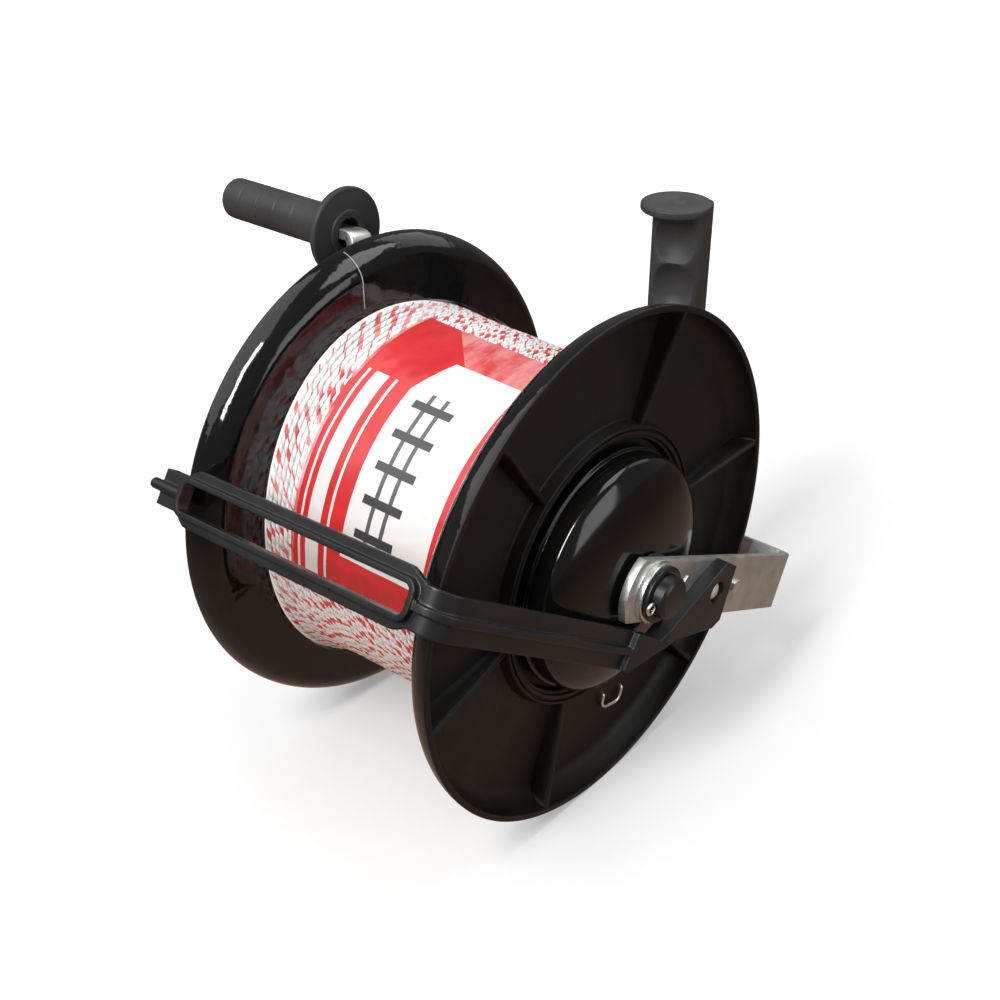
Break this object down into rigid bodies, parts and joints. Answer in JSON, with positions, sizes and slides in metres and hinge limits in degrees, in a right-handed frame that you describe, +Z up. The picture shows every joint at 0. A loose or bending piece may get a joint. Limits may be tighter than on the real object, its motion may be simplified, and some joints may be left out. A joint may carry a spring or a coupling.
{
  "type": "electric fence reel",
  "caption": "Hand-wound fence reel: ribbed flanged drum of polywire on an axle in a flat-bar U frame, with a carrying grip, a slotted wire guide and a winding crank.",
  "frame": {"origin": "on the floor under the axle, midway between the flanges", "axes": "+X along the axle towards the split pin, +Y towards the back bar, +Z up"},
  "size_m": [0.3106, 0.2698, 0.2617],
  "materials": {
    "galvanised_steel": "satin galvanised",
    "zinc_steel": "bright zinc plated",
    "black_steel": "satin black",
    "flange_plastic": "fine moulded grain",
    "dome_plastic": "gloss",
    "guide_plastic": "satin",
    "grip_plastic": "satin",
    "bush_plastic": "satin",
    "polywire": "twisted white and red strands",
    "label_paper": "printed paper under clear film"
  },
  "bodies": {
    "frame": {"frame_bracket": "galvanised_steel", "near_bush": "bush_plastic", "far_bush": "bush_plastic", "near_thrust_washer": "zinc_steel", "far_thrust_washer": "zinc_steel", "guide_arm": "guide_plastic", "guide_bolt": "zinc_steel", "guide_nut": "zinc_steel", "stop_bolt": "zinc_steel", "stop_nut": "zinc_steel", "grip_post": "galvanised_steel", "post_rivets": "zinc_steel", "carry_grip": "grip_plastic", "carry_grip_screw": "zinc_steel"},
    "drum": {"axle": "black_steel", "near_flange": "flange_plastic", "far_flange": "flange_plastic", "barrel": "flange_plastic", "drum_screws": "zinc_steel", "drive_pin": "zinc_steel", "near_dome": "dome_plastic", "far_dome": "dome_plastic", "retaining_washer": "black_steel", "split_pin": "zinc_steel", "contact_clip": "zinc_steel", "crank_arm": "galvanised_steel", "crank_washer": "zinc_steel", "crank_nut": "zinc_steel", "grip_clip": "zinc_steel", "polywire_core": "polywire", "polywire_winding": "polywire", "label_wrap": "label_paper"},
    "crank_handle": {"crank_grip": "grip_plastic", "grip_end_plug": "grip_plastic"}
  },
  "joints": [
    {"name": "drum_spin", "type": "hinge", "parent": "frame", "child": "drum", "pos_m": [0, 0, 0.125], "axis": [1, 0, 0], "continuous": true},
    {"name": "crank_grip_spin", "type": "hinge", "parent": "drum", "child": "crank_handle", "pos_m": [-0.15, 0.02006, 0.23875], "axis": [1, 0, 0], "continuous": true}
  ]
}
